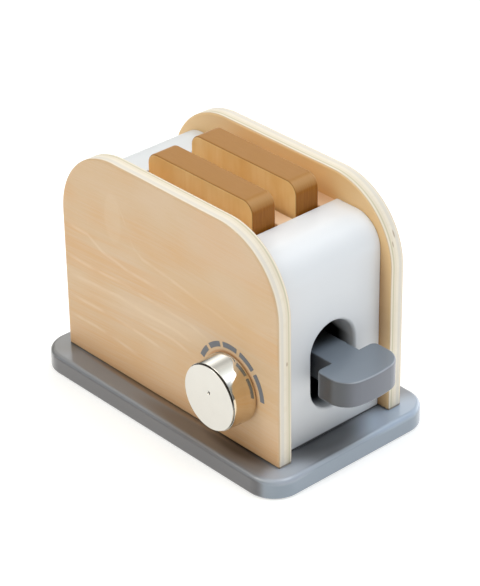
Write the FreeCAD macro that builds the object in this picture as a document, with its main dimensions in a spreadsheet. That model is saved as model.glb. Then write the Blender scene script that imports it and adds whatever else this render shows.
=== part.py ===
import FreeCAD, Part
import os
import re
import Sketcher
from FreeCAD import Placement, Rotation, Vector

# Wooden toy toaster: a painted base, two plywood sides, two painted end blocks, and between them a
# sprung carriage that lifts two loose wooden slices when its lever is let go. The origin is the middle
# of the base's underside, +X points to the lever, -Y to the knob and +Z up. Sizes are in millimetres.

SIZES = {
    # base plate
    "base_thickness": 11,
    "base_end_margin": 10,
    "base_side_margin": 13.55,
    "base_corner_radius": 16,
    "base_top_round": 2.5,
    "base_bottom_round": 1.2,
    # plywood side panels
    "panel_length": 162,
    "panel_height": 121.8,
    "panel_thickness": 9.05,
    "panel_corner_radius": 41.3,
    "panel_edge_round": 1.2,
    # end blocks that hold the panels apart
    "inside_width": 66.3,
    "block_thickness": 30.65,
    "block_height": 107.3,
    "block_recess": 7.15,
    "block_top_radius": 16.8,
    "block_edge_round": 0.8,
    # slot in the front end block
    "slot_side_gap": 4.95,
    "slot_sill": 14.2,
    "slot_offset": 1.1,
    "slot_edge_round": 1.6,
    # boards that form the two toast slots
    "board_drop": 1.7,
    "board_edge_round": 0.6,
    "divider_thickness": 9.5,
    "divider_clearance": 1.2,
    # lever board
    "lever_thickness": 14.4,
    "stem_width": 19.2,
    "stem_rear_gap": 4,
    "head_gap": 8.25,
    "head_depth": 22.4,
    "head_width": 40.1,
    "head_bow": 3.2,
    "head_front_radius": 11.7,
    "head_back_radius": 3.6,
    "lever_edge_round": 1.0,
    "travel_down": 14.4,
    "travel_up": 11.6,
    "travel_clearance": 0.43,
    # platform on the lever board
    "platform_thickness": 6,
    "platform_clearance": 0.6,
    "platform_corner_radius": 3,
    # guide dowels and lift springs
    "guide_radius": 3,
    "guide_inset": 15.2,
    "guide_floor": 3,
    "guide_grip": 8,
    "guide_fit": 0.08,
    "spring_guide_gap": 1.3,
    "spring_wire_radius": 0.3,
    "spring_turns": 7,
    "spring_seat_gap": 0.05,
    # wooden slices and the room they have in their slots
    "toast_height": 70.75,
    "toast_thickness": 15,
    "toast_play": 3.45,
    "toast_end_gap": 1.1,
    "toast_clear_end": 8.2,
    "toast_corner_radius": 6.8,
    "toast_edge_round": 0.9,
    "near_toast_shift": 0.7,
    "far_toast_shift": 0.1,
    # knob and its bearing in the knob side panel
    "knob_setback": 33.9,
    "knob_height": 32.05,
    "knob_radius": 17.5,
    "knob_depth": 14.4,
    "knob_bevel": 0.7,
    "knob_flange_radius": 18.6,
    "knob_flange_depth": 1.6,
    "knob_wall": 1.8,
    "knob_hub_wall": 2.5,
    "knob_gap": 0.3,
    "spindle_radius": 3,
    "spindle_grip": 9,
    "spindle_fit": 0.08,
    "bush_wall": 1.42,
    "washer_width": 3,
    "washer_thickness": 1,
    "washer_float": 0.15,
    "nut_wall": 2.2,
    "nut_thickness": 3,
    "nut_pocket_gap": 1.25,
    "nut_clearance": 0.45,
    # printed marks round the knob, their angles in degrees
    "mark_inner_radius": 21.1,
    "mark_outer_radius": 24.0,
    "mark_film": 0.1,
    "mark_start_angle": 157.5,
    "mark_space_angle": 5.75,
    "mark_one_angle": 19.5,
    "mark_two_angle": 22.5,
    "mark_three_angle": 25,
    "mark_four_angle": 27,
    "mark_five_angle": 37.5,
    # joining dowels and screws
    "panel_dowel_radius": 3,
    "panel_dowel_in_panel": 5.5,
    "panel_dowel_in_block": 13,
    "panel_dowel_low": 45,
    "panel_dowel_high": 85,
    "divider_dowel_radius": 2.5,
    "divider_dowel_grip": 9,
    "divider_dowel_inset": 9,
    "base_screw_radius": 1.75,
    "base_screw_length": 34,
    "base_screw_head_radius": 3.8,
    "base_screw_head_depth": 2.4,
    "base_screw_recess": 0.4,
    "base_screw_spacing": 44,
    "platform_screw_radius": 1.5,
    "platform_screw_length": 15,
    "platform_screw_head_radius": 2.9,
    "platform_screw_head_depth": 1.8,
    "platform_screw_inset": 16,
}

# Places that follow from the sizes, as formulas of the sheet. Heights are above the floor. The stem's
# corners meet the slot's round ends first, slot_end_rise short of the slot's full height.
LAYOUT = {
    "panel_inner_y": "inside_width / 2",
    "panel_outer_y": "panel_inner_y + panel_thickness",
    "base_length": "panel_length + 2 * base_end_margin",
    "base_width": "2 * (panel_outer_y + base_side_margin)",
    "block_outer_x": "panel_length / 2 - block_recess",
    "block_inner_x": "block_outer_x - block_thickness",
    "block_middle_x": "block_outer_x - block_thickness / 2",
    "bay_length": "2 * block_inner_x",
    "board_top": "base_thickness + block_height - board_drop",
    "slot_bottom": "base_thickness + slot_sill",
    "slot_width": "stem_width + 2 * slot_side_gap",
    "slot_end_rise": "slot_width / 2 - (slot_width ^ 2 / 4 - stem_width ^ 2 / 4) ^ 0.5",
    "slot_margin": "slot_end_rise + travel_clearance",
    "slot_height": "2 * slot_margin + travel_down + lever_thickness + travel_up",
    "lever_bottom": "slot_bottom + slot_margin + travel_down",
    "lever_top": "lever_bottom + lever_thickness",
    "platform_top": "lever_top + platform_thickness",
    "divider_bottom": "platform_top + travel_up + divider_clearance",
    "head_back_x": "block_outer_x + head_gap",
    "head_front_x": "head_back_x + head_depth",
    "stem_rear_x": "stem_rear_gap - block_inner_x",
    "liner_inner_y": "divider_thickness / 2 + toast_thickness + toast_play",
    "liner_thickness": "panel_inner_y - liner_inner_y",
    "toast_slot_y": "(liner_inner_y + divider_thickness / 2) / 2",
    "toast_length": "bay_length - toast_end_gap - toast_clear_end",
    "toast_rear_x": "toast_clear_end - block_inner_x",
    "guide_x": "block_inner_x - guide_inset",
    "spring_coil_radius": "guide_radius + spring_guide_gap + spring_wire_radius",
    "platform_screw_x": "guide_x - platform_screw_inset",
    "knob_x": "panel_length / 2 - knob_setback",
    "knob_z": "base_thickness + knob_height",
    "knob_back_y": "-panel_outer_y - knob_gap",
    "knob_hub_radius": "spindle_radius + knob_hub_wall",
    "bush_radius": "spindle_radius + spindle_fit + bush_wall",
    "washer_radius": "spindle_radius + washer_width",
    "nut_radius": "spindle_radius + nut_wall",
    "nut_pocket_radius": "washer_radius + nut_pocket_gap",
    "nut_pocket_depth": "washer_float + washer_thickness + nut_thickness + nut_clearance",
    "bush_length": "panel_thickness - nut_pocket_depth",
    "washer_y": "-panel_inner_y - nut_pocket_depth + washer_float",
}

# Turns that lay a piece's own Z along another axis
ALONG_X = (Vector(0, 1, 0), 90)
AGAINST_X = (Vector(0, 1, 0), -90)
ALONG_Y = (Vector(1, 0, 0), -90)
AGAINST_Y = (Vector(1, 0, 0), 90)
UPSIDE_DOWN = (Vector(1, 0, 0), 180)
HALF_TURN = (Vector(0, 0, 1), 180)

# An edge whose bounds are thinner than this lies in one plane
FLAT = 1e-4

doc = FreeCAD.newDocument("toy_toaster")
sheet = doc.addObject("Spreadsheet::Sheet", "Sizes")


def formula(text):
    """The text with each name of the sheet written as the expression engine wants it."""
    return re.sub(r"[a-z][a-z_]*", lambda word: "Sizes." + word.group(), str(text))


def fill_sheet():
    for row, (name, value) in enumerate({**SIZES, **LAYOUT}.items(), 1):
        cell = "B%d" % row
        sheet.set("A%d" % row, name)
        sheet.setAlias(cell, name)
        sheet.set(cell, "=" + value if name in LAYOUT else str(value))
    doc.recompute()


def value(name):
    """A size or place as a number, for a sketch's first guess or to tell edges apart."""
    return float(sheet.get(name))


def bind(thing, **formulas):
    """Binds properties to formulas; a double underscore stands for the dot of a sub-property."""
    for name, text in formulas.items():
        thing.setExpression(name.replace("__", "."), formula(text))
    return thing


def place(thing, x="0", y="0", z="0", turn=None):
    """Puts a sub-part at formulas for its place, turned as (axis, degrees)."""
    if turn:
        thing.Placement = Placement(Vector(), Rotation(*turn))
    return bind(thing, Placement__Base__x=x, Placement__Base__y=y, Placement__Base__z=z)


def named(thing, label):
    thing.Label = label
    return thing


def new_body(label):
    return named(doc.addObject("PartDesign::Body", label), label)


def new_sketch(body, plane, name):
    sketch = body.newObject("Sketcher::SketchObject", name)
    origin_plane = [feature for feature in body.Origin.OriginFeatures if feature.Role == plane][0]
    sketch.AttachmentSupport = [(origin_plane, "")]
    sketch.MapMode = "FlatFace"
    return sketch


def dimension(sketch, kind, *arguments):
    """Adds a driving dimension; the last argument is its formula."""
    *places, text = arguments
    index = sketch.addConstraint(Sketcher.Constraint(kind, *places, 1.0))
    sketch.setExpression("Constraints[%d]" % index, formula(text))


def closed_outline(sketch, points, crests=None):
    """Sides through the points, each joined to the next; a side with a crest is an arc through it."""
    for i, start in enumerate(points):
        end = points[(i + 1) % len(points)]
        crest = (crests or {}).get(i)
        sketch.addGeometry(Part.Arc(start, crest, end) if crest else Part.LineSegment(start, end))
    for i in range(len(points)):
        sketch.addConstraint(Sketcher.Constraint("Coincident", i, 2, (i + 1) % len(points), 1))


def rectangle_sketch(body, plane, name, width, depth, left, bottom):
    """A rectangle of width by depth whose lower left corner is at (left, bottom)."""
    sketch = new_sketch(body, plane, name)
    closed_outline(sketch, [Vector(0, 0), Vector(9, 0), Vector(9, 9), Vector(0, 9)])
    for side in (0, 2):
        sketch.addConstraint(Sketcher.Constraint("Horizontal", side))
        sketch.addConstraint(Sketcher.Constraint("Vertical", side + 1))
    dimension(sketch, "DistanceX", 0, 1, 0, 2, width)
    dimension(sketch, "DistanceY", 1, 1, 1, 2, depth)
    dimension(sketch, "DistanceX", -1, 1, 0, 1, left)
    dimension(sketch, "DistanceY", -1, 1, 0, 1, bottom)
    return sketch


def stadium_sketch(body, plane, name, width, length, centre, bottom):
    """An upright slot with round ends, centred on the line at centre."""
    sketch = new_sketch(body, plane, name)
    radius = value("slot_width") / 2
    low = Vector(value("slot_offset"), value("slot_sill") + radius)
    high = low + Vector(0, radius)
    across = Vector(radius, 0)
    sketch.addGeometry(Part.Arc(low - across, low - Vector(0, radius), low + across))
    sketch.addGeometry(Part.LineSegment(low + across, high + across))
    sketch.addGeometry(Part.Arc(high + across, high + Vector(0, radius), high - across))
    sketch.addGeometry(Part.LineSegment(high - across, low - across))
    for i in range(4):
        sketch.addConstraint(Sketcher.Constraint("Tangent", i, 2, (i + 1) % 4, 1))
    for line in (1, 3):
        sketch.addConstraint(Sketcher.Constraint("Vertical", line))
    dimension(sketch, "Radius", 0, width + " / 2")
    dimension(sketch, "DistanceY", 0, 3, 2, 3, length + " - " + width)
    dimension(sketch, "DistanceX", -1, 1, 0, 3, centre)
    dimension(sketch, "DistanceY", -1, 1, 0, 3, bottom + " + " + width + " / 2")
    return sketch


def pad(body, sketch, length, reverse=False, both_sides=False):
    feature = body.newObject("PartDesign::Pad", "Pad_" + sketch.Name)
    feature.Profile = sketch
    feature.Reversed = reverse
    feature.Midplane = both_sides
    return bind(feature, Length=length)


def edges_of(feature, wanted):
    doc.recompute()
    edges = feature.Shape.Edges
    return ["Edge%d" % (i + 1) for i, edge in enumerate(edges) if wanted(edge.BoundBox)]


def rounded(body, feature, radius, wanted):
    """Rounds the edges of the body's last feature whose bounds pass the test."""
    fillet = body.newObject("PartDesign::Fillet", "Round")
    fillet.Base = (feature, edges_of(feature, wanted))
    return bind(fillet, Radius=radius)


def drill(body, radius, depth, x="0", y="0", z="0", turn=None):
    """A round hole from (x, y, z) of the body, up its own Z unless turned."""
    hole = body.newObject("PartDesign::SubtractiveCylinder", "Bore")
    return place(bind(hole, Radius=radius, Height=depth), x, y, z, turn)


def countersink(body, outer_radius, inner_radius, depth, x="0", y="0", z="0", turn=None):
    cone = body.newObject("PartDesign::SubtractiveCone", "Countersink")
    return place(bind(cone, Radius1=outer_radius, Radius2=inner_radius, Height=depth), x, y, z, turn)


def cylinder(name, radius, length, x="0", y="0", z="0", turn=None):
    return place(bind(doc.addObject("Part::Cylinder", name), Radius=radius, Height=length), x, y, z, turn)


def cut(label, base, tool):
    piece = doc.addObject("Part::Cut", label)
    piece.Base = base
    piece.Tool = tool
    return named(piece, label)


def group(label, members):
    piece = doc.addObject("Part::Compound", label)
    piece.Links = members
    return named(piece, label)


def upright(bounds):
    return bounds.XLength < FLAT and bounds.YLength < FLAT


def at_height(height):
    return lambda bounds: bounds.ZLength < FLAT and abs(bounds.ZMin - height) < FLAT


def in_side_plane(bounds):
    return bounds.YLength < FLAT


# ---------------------------------------------------------------- housing


def base_plate():
    """Rounded plate with blind sockets for the guides and countersunk holes for the block screws."""
    body = new_body("base_plate")
    outline = rectangle_sketch(
        body, "XY_Plane", "base_outline", "base_length", "base_width", "-base_length / 2", "-base_width / 2"
    )
    plate = pad(body, outline, "base_thickness")
    plate = rounded(body, plate, "base_corner_radius", upright)
    plate = rounded(body, plate, "base_top_round", at_height(value("base_thickness")))
    rounded(body, plate, "base_bottom_round", at_height(0))
    for side in ("-", ""):
        drill(body, "guide_radius", "base_thickness - guide_floor", side + "guide_x", z="guide_floor")
        for across in ("-", ""):
            x, y = side + "block_middle_x", across + "base_screw_spacing / 2"
            drill(body, "base_screw_radius", "base_thickness", x, y)
            drill(body, "base_screw_head_radius", "base_screw_recess", x, y)
            countersink(body, "base_screw_head_radius", "base_screw_radius", "base_screw_head_depth",
                        x, y, "base_screw_recess")
    return body


def side_panel(label, knob_side):
    """Plywood side with large top corners, drilled blind for the dowels into the end blocks."""
    body = new_body(label)
    outline = rectangle_sketch(
        body, "XZ_Plane", "panel_outline", "panel_length", "panel_height", "-panel_length / 2", "0"
    )
    board = pad(body, outline, "panel_thickness", reverse=not knob_side)

    def is_top_corner(bounds):
        return bounds.XLength < FLAT and bounds.ZLength < FLAT and bounds.ZMin > value("panel_height") / 2

    board = rounded(body, board, "panel_corner_radius", is_top_corner)
    rounded(body, board, "panel_edge_round", in_side_plane)
    outward = AGAINST_Y if knob_side else ALONG_Y
    for side in ("-", ""):
        for level in ("panel_dowel_low", "panel_dowel_high"):
            drill(body, "panel_dowel_radius", "panel_dowel_in_panel",
                  side + "block_middle_x", "0", level, outward)
    if knob_side:
        drill(body, "bush_radius", "panel_thickness", "knob_x", "0", "knob_height", outward)
        drill(body, "nut_pocket_radius", "nut_pocket_depth", "knob_x", "0", "knob_height", outward)
    return place(body, y=("-" if knob_side else "") + "panel_inner_y", z="base_thickness")


def end_block(label, front):
    """Painted block between the panels, its outer top edge round; the front one has the lever slot."""
    body = new_body(label)
    outline = rectangle_sketch(
        body, "XZ_Plane", "block_outline", "block_thickness", "block_height", "0", "0"
    )
    block = pad(body, outline, "inside_width", both_sides=True)

    def is_outer_top(bounds):
        over = bounds.XMin > value("block_thickness") / 2 and bounds.ZMin > value("block_height") / 2
        return over and bounds.YLength > FLAT

    def is_small_edge(bounds):
        inner_top = bounds.XMax < FLAT and bounds.ZMin > FLAT and bounds.YLength > FLAT
        return inner_top or in_side_plane(bounds)

    block = rounded(body, block, "block_top_radius", is_outer_top)
    block = rounded(body, block, "block_edge_round", is_small_edge)
    if front:
        slot = stadium_sketch(body, "YZ_Plane", "slot_outline", "slot_width", "slot_height",
                              "slot_offset", "slot_sill")
        pocket = body.newObject("PartDesign::Pocket", "Lever_slot")
        pocket.Profile = slot
        pocket.Reversed = True
        bind(pocket, Length="block_thickness")

        def is_slot_mouth(bounds):
            on_face = bounds.XLength < FLAT and bounds.XMin > FLAT
            return on_face and bounds.ZMin > FLAT and abs(bounds.YMax) < value("slot_width")

        rounded(body, pocket, "slot_edge_round", is_slot_mouth)
    for across, inward in (("-", ALONG_Y), ("", AGAINST_Y)):
        for level in ("panel_dowel_low", "panel_dowel_high"):
            drill(body, "panel_dowel_radius", "panel_dowel_in_block", "block_thickness / 2",
                  across + "panel_inner_y", level, inward)
        drill(body, "base_screw_radius", "base_screw_length + base_screw_recess - base_thickness",
              "block_thickness / 2", across + "base_screw_spacing / 2")
    for level in ("divider_bottom + divider_dowel_inset", "board_top - divider_dowel_inset"):
        drill(body, "divider_dowel_radius", "divider_dowel_grip", z=level + " - base_thickness",
              turn=ALONG_X)
    if front:
        return place(body, "block_inner_x", z="base_thickness")
    return place(body, "-block_inner_x", z="base_thickness", turn=HALF_TURN)


def slot_divider():
    """Board between the two toast slots; it also holds the guides' upper ends."""
    body = new_body("slot_divider")
    outline = rectangle_sketch(
        body, "XY_Plane", "divider_outline", "bay_length", "divider_thickness",
        "-bay_length / 2", "-divider_thickness / 2"
    )
    board = pad(body, outline, "board_top - divider_bottom")

    def is_long_top(bounds):
        return bounds.ZMin > FLAT and bounds.YLength < FLAT and bounds.ZLength < FLAT

    rounded(body, board, "board_edge_round", is_long_top)
    for side, inward in (("-", ALONG_X), ("", AGAINST_X)):
        drill(body, "guide_radius", "guide_grip", side + "guide_x")
        for level in ("divider_dowel_inset", "board_top - divider_bottom - divider_dowel_inset"):
            drill(body, "divider_dowel_radius", "divider_dowel_grip",
                  side + "bay_length / 2", "0", level, inward)
    return place(body, z="divider_bottom")


def slot_liner(label, knob_side):
    """Board glued inside a panel, the outer wall of a toast slot."""
    body = new_body(label)
    outline = rectangle_sketch(
        body, "XY_Plane", "liner_outline", "bay_length", "liner_thickness", "-bay_length / 2", "0"
    )
    board = pad(body, outline, "board_top - base_thickness")

    def is_slot_lip(bounds):
        return bounds.ZMin > FLAT and bounds.XLength > FLAT and bounds.YMax < FLAT and bounds.ZLength < FLAT

    rounded(body, board, "board_edge_round", is_slot_lip)
    if knob_side:
        return place(body, y="-liner_inner_y", z="base_thickness", turn=HALF_TURN)
    return place(body, y="liner_inner_y", z="base_thickness")


def screw(name, size, x, y, z, turn=None):
    """Countersunk wood screw, its head's face at (x, y, z) and its shank along its own Z."""
    head = bind(doc.addObject("Part::Cone", name + "_head"), Radius1=size + "_head_radius",
                Radius2=size + "_radius", Height=size + "_head_depth")
    shank = bind(doc.addObject("Part::Cylinder", name + "_shank"), Radius=size + "_radius",
                 Height=size + "_length")
    whole = doc.addObject("Part::Fuse", name)
    whole.Base = head
    whole.Tool = shank
    return place(whole, x, y, z, turn)


def base_screws():
    members = []
    for side in ("-", ""):
        for across in ("-", ""):
            name = "base_screw_%d" % len(members)
            x, y = side + "block_middle_x", across + "base_screw_spacing / 2"
            members.append(screw(name, "base_screw", x, y, "base_screw_recess"))
    return group("base_screws", members)


def panel_dowels():
    length = "panel_dowel_in_panel + panel_dowel_in_block"
    members = []
    for side in ("-", ""):
        for level in ("panel_dowel_low", "panel_dowel_high"):
            for y in ("-panel_inner_y - panel_dowel_in_panel", "panel_inner_y - panel_dowel_in_block"):
                name = "panel_dowel_%d" % len(members)
                members.append(cylinder(name, "panel_dowel_radius", length, side + "block_middle_x", y,
                                        "base_thickness + " + level, ALONG_Y))
    return group("panel_dowels", members)


def divider_dowels():
    members = []
    for side in ("-", ""):
        for level in ("divider_bottom + divider_dowel_inset", "board_top - divider_dowel_inset"):
            name = "divider_dowel_%d" % len(members)
            members.append(cylinder(name, "divider_dowel_radius", "2 * divider_dowel_grip",
                                    side + "block_inner_x - divider_dowel_grip", "0", level, ALONG_X))
    return group("divider_dowels", members)


def guide_dowel(label, side):
    length = "divider_bottom + guide_grip - guide_floor"
    dowel = cylinder(label, "guide_radius", length, side + "guide_x", "0", "guide_floor")
    return named(dowel, label)


def lift_spring(label, side):
    """Compression spring round a guide, between the base plate and the lever board, a face a turn."""
    coil = doc.addObject("Part::Helix", label + "_line")
    coil.SegmentLength = 1
    height = "(lever_bottom - base_thickness - 2 * (spring_wire_radius + spring_seat_gap))"
    bind(coil, Radius="spring_coil_radius", Height=height, Pitch=height + " / spring_turns")
    wire = doc.addObject("Part::Circle", label + "_wire")
    bind(wire, Radius="spring_wire_radius")
    place(wire, "spring_coil_radius", turn=AGAINST_Y)
    doc.recompute()
    spring = doc.addObject("Part::Sweep", label)
    spring.Sections = [wire]
    spring.Spine = (coil, ["Edge%d" % (i + 1) for i in range(len(coil.Shape.Edges))])
    spring.Solid = True
    spring.Frenet = True
    seat = "base_thickness + spring_wire_radius + spring_seat_gap"
    return named(place(spring, side + "guide_x", z=seat), label)


# ---------------------------------------------------------------- carriage


def lever_board():
    """Flat board whose stem runs through the front slot to a wide round-cornered head."""
    body = new_body("lever_board")
    sketch = new_sketch(body, "XY_Plane", "lever_outline")
    stem, head = value("stem_width") / 2, value("head_width") / 2
    rear, back, crest = value("stem_rear_x"), value("head_back_x"), value("head_front_x")
    side = crest - value("head_bow")
    closed_outline(sketch, [
        Vector(rear, -stem), Vector(back, -stem), Vector(back, -head), Vector(side, -head),
        Vector(side, head), Vector(back, head), Vector(back, stem), Vector(rear, stem),
    ], {3: Vector(crest, 0)})
    sketch.addGeometry(Part.Point(Vector(crest, 0)), True)
    for line in (3, -1):
        sketch.addConstraint(Sketcher.Constraint("PointOnObject", 8, 1, line))
    for line in (0, 2, 4, 6):
        sketch.addConstraint(Sketcher.Constraint("Horizontal", line))
    for line in (1, 5):
        sketch.addConstraint(Sketcher.Constraint("Vertical", line))
    for line in (3, 7):
        sketch.addConstraint(Sketcher.Constraint("Symmetric", line, 1, line, 2, -1))
    dimension(sketch, "DistanceY", 7, 2, 7, 1, "stem_width")
    dimension(sketch, "DistanceY", 3, 1, 3, 2, "head_width")
    dimension(sketch, "DistanceX", -1, 1, 7, 2, "stem_rear_x")
    dimension(sketch, "DistanceX", -1, 1, 0, 2, "head_back_x")
    dimension(sketch, "DistanceX", -1, 1, 4, 2, "head_back_x")
    dimension(sketch, "DistanceX", -1, 1, 2, 2, "head_front_x - head_bow")
    dimension(sketch, "DistanceX", -1, 1, 8, 1, "head_front_x")
    board = pad(body, sketch, "lever_thickness")

    def is_front_corner(bounds):
        return upright(bounds) and bounds.XMin > back + FLAT

    def is_back_corner(bounds):
        return upright(bounds) and abs(bounds.XMin - back) < FLAT and abs(bounds.YMin) > stem + FLAT

    def is_outline(bounds):
        return bounds.ZLength < FLAT

    board = rounded(body, board, "head_front_radius", is_front_corner)
    board = rounded(body, board, "head_back_radius", is_back_corner)
    rounded(body, board, "lever_edge_round", is_outline)
    for side in ("-", ""):
        drill(body, "guide_radius + guide_fit", "lever_thickness", side + "guide_x", "-slot_offset")
        drill(body, "platform_screw_radius", "platform_screw_length - platform_thickness",
              side + "platform_screw_x", "-slot_offset", "lever_thickness", UPSIDE_DOWN)
    return place(body, y="slot_offset", z="lever_bottom")


def toast_platform():
    """Thin board screwed on the stem, on which the slices stand."""
    body = new_body("toast_platform")
    length, width = "(bay_length - 2 * platform_clearance)", "(2 * liner_inner_y - 2 * platform_clearance)"
    outline = rectangle_sketch(body, "XY_Plane", "platform_outline", length, width,
                               "-" + length + " / 2", "-" + width + " / 2")
    board = pad(body, outline, "platform_thickness")
    rounded(body, board, "platform_corner_radius", upright)
    for side in ("-", ""):
        drill(body, "guide_radius + guide_fit", "platform_thickness", side + "guide_x")
        drill(body, "platform_screw_radius", "platform_thickness", side + "platform_screw_x")
        countersink(body, "platform_screw_head_radius", "platform_screw_radius",
                    "platform_screw_head_depth", side + "platform_screw_x", "0", "platform_thickness",
                    UPSIDE_DOWN)
    return place(body, z="lever_top")


def platform_screws():
    members = []
    for side in ("-", ""):
        name = "platform_screw_%d" % len(members)
        members.append(screw(name, "platform_screw", side + "platform_screw_x", "0", "platform_top",
                             UPSIDE_DOWN))
    return group("platform_screws", members)


def toast_slice(label, y):
    """Round-cornered wooden slice that stands on the platform."""
    body = new_body(label)
    outline = rectangle_sketch(body, "XZ_Plane", "slice_outline", "toast_length", "toast_height", "0", "0")
    bread = pad(body, outline, "toast_thickness", both_sides=True)

    def is_corner(bounds):
        return bounds.XLength < FLAT and bounds.ZLength < FLAT

    bread = rounded(body, bread, "toast_corner_radius", is_corner)
    rounded(body, bread, "toast_edge_round", in_side_plane)
    return place(body, "toast_rear_x", y, "platform_top")


# ---------------------------------------------------------------- knob


def knob_cap():
    """Cast shell with a low flange next to the panel and a hub bored blind for its spindle."""
    body = new_body("knob_cap")
    flange = body.newObject("PartDesign::AdditiveCylinder", "Flange")
    bind(flange, Radius="knob_flange_radius", Height="knob_flange_depth")
    barrel = body.newObject("PartDesign::AdditiveCylinder", "Barrel")
    bind(barrel, Radius="knob_radius", Height="knob_depth")

    def is_rim(height, radius):
        return lambda bounds: at_height(height)(bounds) and abs(bounds.XLength - 2 * radius) < FLAT

    bevel = body.newObject("PartDesign::Chamfer", "Face_bevel")
    bevel.Base = (barrel, edges_of(barrel, is_rim(value("knob_depth"), value("knob_radius"))))
    bind(bevel, Size="knob_bevel")
    rounded(body, bevel, "knob_bevel", is_rim(value("knob_flange_depth"), value("knob_flange_radius")))
    drill(body, "knob_radius - knob_wall", "knob_depth - knob_wall")
    hub = body.newObject("PartDesign::AdditiveCylinder", "Hub")
    bind(hub, Radius="knob_hub_radius", Height="knob_depth - knob_wall / 2")
    drill(body, "spindle_radius", "spindle_grip")
    return place(body, "knob_x", "knob_back_y", "knob_z", AGAINST_Y)


def knob_spindle():
    length = "spindle_grip + knob_gap + bush_length + washer_float + washer_thickness + nut_thickness"
    spindle = cylinder("knob_spindle", "spindle_radius", length, "knob_x", "knob_back_y - spindle_grip",
                       "knob_z", ALONG_Y)
    return named(spindle, "knob_spindle")


def spindle_bush():
    """Brass sleeve pressed into the panel, in which the spindle turns."""
    outer = cylinder("bush_outside", "bush_radius", "bush_length", "knob_x", "-panel_outer_y", "knob_z",
                     ALONG_Y)
    inner = cylinder("bush_bore", "spindle_radius + spindle_fit", "bush_length", "knob_x",
                     "-panel_outer_y", "knob_z", ALONG_Y)
    return cut("spindle_bush", outer, inner)


def spindle_washer():
    outer = cylinder("washer_outside", "washer_radius", "washer_thickness", "knob_x", "washer_y", "knob_z",
                     ALONG_Y)
    inner = cylinder("washer_bore", "spindle_radius", "washer_thickness", "knob_x", "washer_y", "knob_z",
                     ALONG_Y)
    return cut("spindle_washer", outer, inner)


def lock_nut():
    """Hexagon nut on the spindle's end, in the pocket of the panel."""
    seat = "washer_y + washer_thickness"
    hexagon = doc.addObject("Part::Prism", "nut_outside")
    hexagon.Polygon = 6
    bind(hexagon, Circumradius="nut_radius", Height="nut_thickness")
    place(hexagon, "knob_x", seat, "knob_z", ALONG_Y)
    inner = cylinder("nut_bore", "spindle_radius", "nut_thickness", "knob_x", seat, "knob_z", ALONG_Y)
    return cut("lock_nut", hexagon, inner)


def dial_marks():
    """Five printed arcs round the knob, a thin film on the panel's face, longer from first to last."""
    arcs = []
    end = "mark_start_angle"
    for number in ("one", "two", "three", "four", "five"):
        span = "mark_%s_angle" % number
        sectors = []
        for radius in ("mark_outer_radius", "mark_inner_radius"):
            sector = cylinder("dial_" + number + "_" + radius, radius, "mark_film")
            sector.Placement.Rotation = Rotation(Vector(0, 0, 1), 1)
            sectors.append(bind(sector, Angle=span, Placement__Rotation__Angle=end + " - " + span))
        arc = cut("dial_" + number, *sectors)
        arcs.append(place(arc, "knob_x", "-panel_outer_y", "knob_z", AGAINST_Y))
        end = end + " - " + span + " - mark_space_angle"
    return group("dial_marks", arcs)


# ---------------------------------------------------------------- document


def check(pieces):
    """Stops before anything is written if an object failed or a sub-part has no sound solid."""
    failed = [thing.Name for thing in doc.Objects if {"Invalid", "Error"} & set(thing.State)]
    empty = [piece.Label for piece in pieces if piece.Shape.isNull() or not piece.Shape.isValid()]
    hollow = [piece.Label for piece in pieces if not piece.Shape.Solids]
    if failed or empty or hollow:
        raise RuntimeError("failed: %s, not valid: %s, no solid: %s" % (failed, empty, hollow))


def write(pieces):
    os.makedirs("parts", exist_ok=True)
    for piece in pieces:
        piece.Shape.exportStep("parts/%s.step" % piece.Label)


def main():
    fill_sheet()
    pieces = [
        base_plate(),
        side_panel("knob_side_panel", True),
        side_panel("plain_side_panel", False),
        end_block("front_end_block", True),
        end_block("rear_end_block", False),
        slot_divider(),
        slot_liner("knob_side_liner", True),
        slot_liner("plain_side_liner", False),
        base_screws(),
        panel_dowels(),
        divider_dowels(),
        guide_dowel("front_guide_dowel", ""),
        guide_dowel("rear_guide_dowel", "-"),
        lift_spring("front_lift_spring", ""),
        lift_spring("rear_lift_spring", "-"),
        lever_board(),
        toast_platform(),
        platform_screws(),
        toast_slice("near_toast", "-toast_slot_y - near_toast_shift"),
        toast_slice("far_toast", "toast_slot_y - far_toast_shift"),
        knob_cap(),
        knob_spindle(),
        spindle_bush(),
        spindle_washer(),
        lock_nut(),
        dial_marks(),
    ]
    doc.recompute()
    check(pieces)
    write(pieces)


main()
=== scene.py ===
import math

import bmesh
import bpy
from mathutils import Matrix, Vector


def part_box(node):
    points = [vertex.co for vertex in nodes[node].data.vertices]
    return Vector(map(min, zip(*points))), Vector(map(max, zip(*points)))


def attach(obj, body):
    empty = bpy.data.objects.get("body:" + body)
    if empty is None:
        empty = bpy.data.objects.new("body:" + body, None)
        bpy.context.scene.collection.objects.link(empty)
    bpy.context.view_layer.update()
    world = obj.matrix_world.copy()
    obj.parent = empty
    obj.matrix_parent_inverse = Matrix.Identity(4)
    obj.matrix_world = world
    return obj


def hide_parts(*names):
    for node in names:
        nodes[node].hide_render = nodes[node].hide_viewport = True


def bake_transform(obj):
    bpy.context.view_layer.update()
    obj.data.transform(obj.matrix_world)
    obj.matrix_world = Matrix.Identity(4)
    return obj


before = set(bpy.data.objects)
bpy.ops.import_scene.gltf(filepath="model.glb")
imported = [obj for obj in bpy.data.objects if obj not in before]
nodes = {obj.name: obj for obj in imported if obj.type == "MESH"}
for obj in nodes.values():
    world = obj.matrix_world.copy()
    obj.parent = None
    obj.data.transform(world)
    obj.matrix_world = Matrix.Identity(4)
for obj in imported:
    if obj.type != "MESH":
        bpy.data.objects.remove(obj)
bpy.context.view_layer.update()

# Looks of the wooden toy toaster. +X points to the lever, -Y to the knob and +Z up. Sizes in this file
# are in millimetres unless a name says otherwise; pieces are built in metres.

MM = 0.001


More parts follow.
